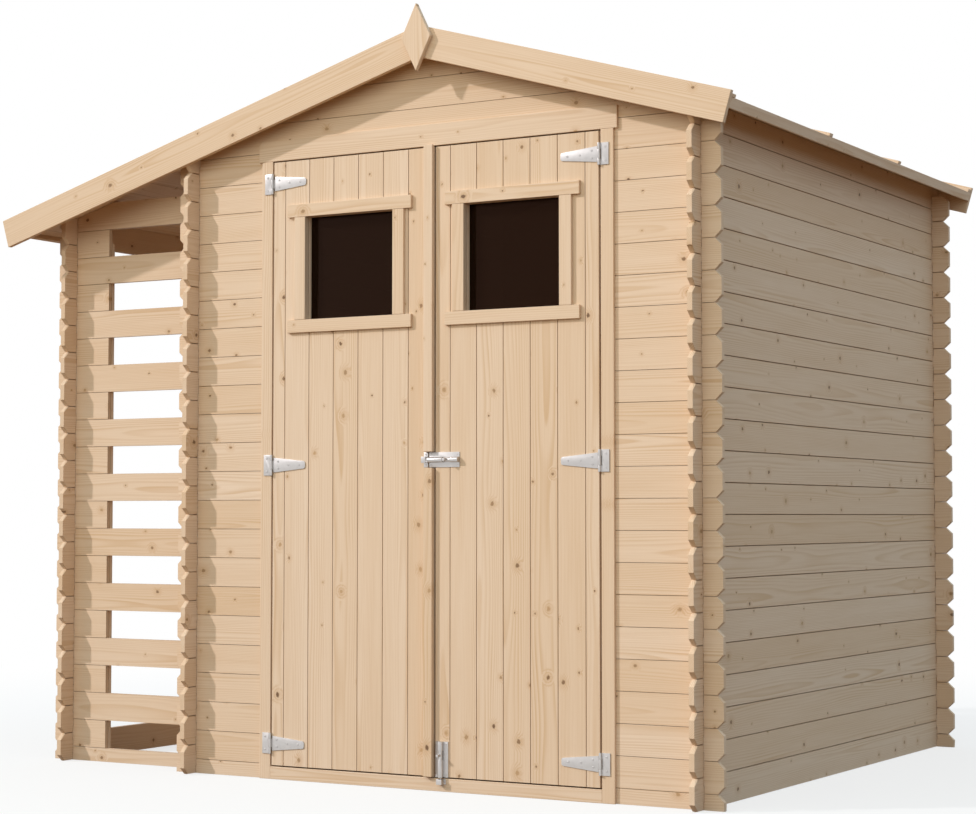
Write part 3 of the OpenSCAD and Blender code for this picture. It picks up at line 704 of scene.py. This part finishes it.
# %% One screw head
SCREW_SIDES = 20
HEAD_RINGS = ((1.0, 0.0), (0.96, 0.16), (0.8, 0.25))  # radius and height
CROSS = ((1, -1), (3, -1), (3, 1), (1, 1), (1, 3), (-1, 3), (-1, 1), (-3, 1), (-3, -1), (-1, -1),
         (-1, -3), (1, -3))
CROSS_UNIT = 0.19
CROSS_TOP, CROSS_BOTTOM = 0.25, 0.05


def screw(bm, x, y, z, radius):
    """Adds one screw head whose seat is at a point of a plate's face."""
    turns = [math.tau * i / SCREW_SIDES for i in range(SCREW_SIDES)]
    rings = [[bm.verts.new((x + radius * size * math.cos(a), y - radius * high,
                            z + radius * size * math.sin(a))) for a in turns]
             for size, high in HEAD_RINGS]
    crosses = [[bm.verts.new((x + radius * CROSS_UNIT * a, y - radius * high,
                              z + radius * CROSS_UNIT * b)) for a, b in CROSS]
               for high in (CROSS_TOP, CROSS_BOTTOM)]
    for low, top in ((rings[0], rings[1]), (rings[1], rings[2]), crosses):
        for i in range(len(low)):
            bm.faces.new((low[i - 1], low[i], top[i], top[i - 1]))
    bm.faces.new(crosses[1])
    rims = [bm.edges.get((loop[i - 1], loop[i])) for loop in (rings[2], crosses[0])
            for i in range(len(loop))]
    bmesh.ops.triangle_fill(bm, edges=rims, use_beauty=True)


print("a screw head has", SCREW_SIDES, "sides and a cross of", len(CROSS), "corners")

# %% [markdown]
# The screws' places are counted in millimetres, sideways and up: on the hinges from the pin, and on
# the bolts and keepers from the middle of their box. The heads stand on the face of the plate, which
# looks to the front.

# %% Screws on every plate
HINGE_T, BOLT_T = 3 * MM, 2 * MM
KNUCKLE = 4.5 * MM
PLATE_SCREWS = (HINGE_T, 3.2, [(19, 20), (19, -20)])
STRAP_SCREWS = (HINGE_T, 3.2, [(24, 11), (24, -11), (62, 0), (102, 0)])
SCREWS = {"hinge_plates_left": PLATE_SCREWS, "hinge_plates_right": PLATE_SCREWS,
          "left_hinge_straps": STRAP_SCREWS, "right_hinge_straps": STRAP_SCREWS,
          "latch_keeper": (BOLT_T, 2.6, [(0, 15.5), (0, -15.5)]),
          "latch_bolt": (BOLT_T, 2.6, [(45, 16.5), (45, -16.5), (-45, 16.5), (-45, -16.5)]),
          "foot_bolt": (BOLT_T, 2.6, [(16.5, 45), (-16.5, 45), (16.5, -45), (-16.5, -45)]),
          "foot_keeper": (BOLT_T, 1.9, [(11.5, 0), (-11.5, 0)])}
TO_THE_RIGHT = ("hinge_plates_right", "left_hinge_straps")

heads = {body: bmesh.new() for body in frame["bodies"]}
for node, (thick, radius, places) in SCREWS.items():
    outward = 1 if node in TO_THE_RIGHT else -1
    bm, groups = solids_of(nodes[node].data)
    for group in groups:
        low = Vector([min(v.co[i] for v in group) for i in range(3)])
        high = Vector([max(v.co[i] for v in group) for i in range(3)])
        middle = (low + high) / 2
        pin = (low.x if outward > 0 else high.x) + outward * KNUCKLE
        for across, up in places:
            x = pin + outward * across * MM if thick == HINGE_T else middle.x + across * MM
            screw(heads[body_of[node]], x, high.y - thick, middle.z + up * MM, radius * MM)
    bm.free()
for body, bm in heads.items():
    bmesh.ops.recalc_face_normals(bm, faces=bm.faces)
    piece = finished(bm, body + "_screws", body, zinc)
    print(piece.name, len(piece.data.polygons), "faces")

# %% [markdown]
# ## Lath behind the cover strip
# The leaves don't meet. The slit between them is closed by a lath behind the cover strip, in two
# lengths like the strip itself, so that the latch has room. It moves with the left leaf.

# %% Lath in the slit
LEAF_PLAY, FRONT_PLAY = 0.3 * MM, 0.6 * MM
STRIP_OVERLAP = 0.8 * MM
LATH_CHAMFER = 4 * MM

leaf_low, leaf_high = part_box("left_leaf_boards")
strip, groups = solids_of(nodes["cover_strip"].data)
lath = bmesh.new()
lath.faces.layers.float.new("joint")
for group in groups:
    heights = [v.co.z for v in group]
    x0, x1 = leaf_high.x + LEAF_PLAY, max(v.co.x for v in group) - STRIP_OVERLAP
    y0, y1 = leaf_low.y + FRONT_PLAY, leaf_high.y
    section = ((x0, y0), (x1, y0), (x1, y1 - LATH_CHAMFER), (x1 - LATH_CHAMFER, y1), (x0, y1))
    low, top = [[lath.verts.new((x, y, z)) for x, y in section]
                for z in (min(heights), min(max(heights), leaf_high.z))]
    lath.faces.new(low)
    lath.faces.new(top)
    for i in range(len(section)):
        lath.faces.new((low[i - 1], low[i], top[i], top[i - 1]))
strip.free()
bmesh.ops.recalc_face_normals(lath, faces=lath.faces)
axes = [(centre_of(g), axes_of(g)) for g in islands(lath)]
soften(lath, 0.8 * MM)
give_grain(lath, axes, "meeting_lath")
piece = finished(lath, "meeting_lath", "left_door", spruce)
print(piece.name, len(groups), "lengths")

# %% [markdown]
# ## Panes
# The panes keep their CAD solids and only take the glass.

# %% Panes
for node in ("left_window_glass", "right_window_glass"):
    nodes[node].data.materials.clear()
    nodes[node].data.materials.append(glass)
    print(node, "takes", glass.name)
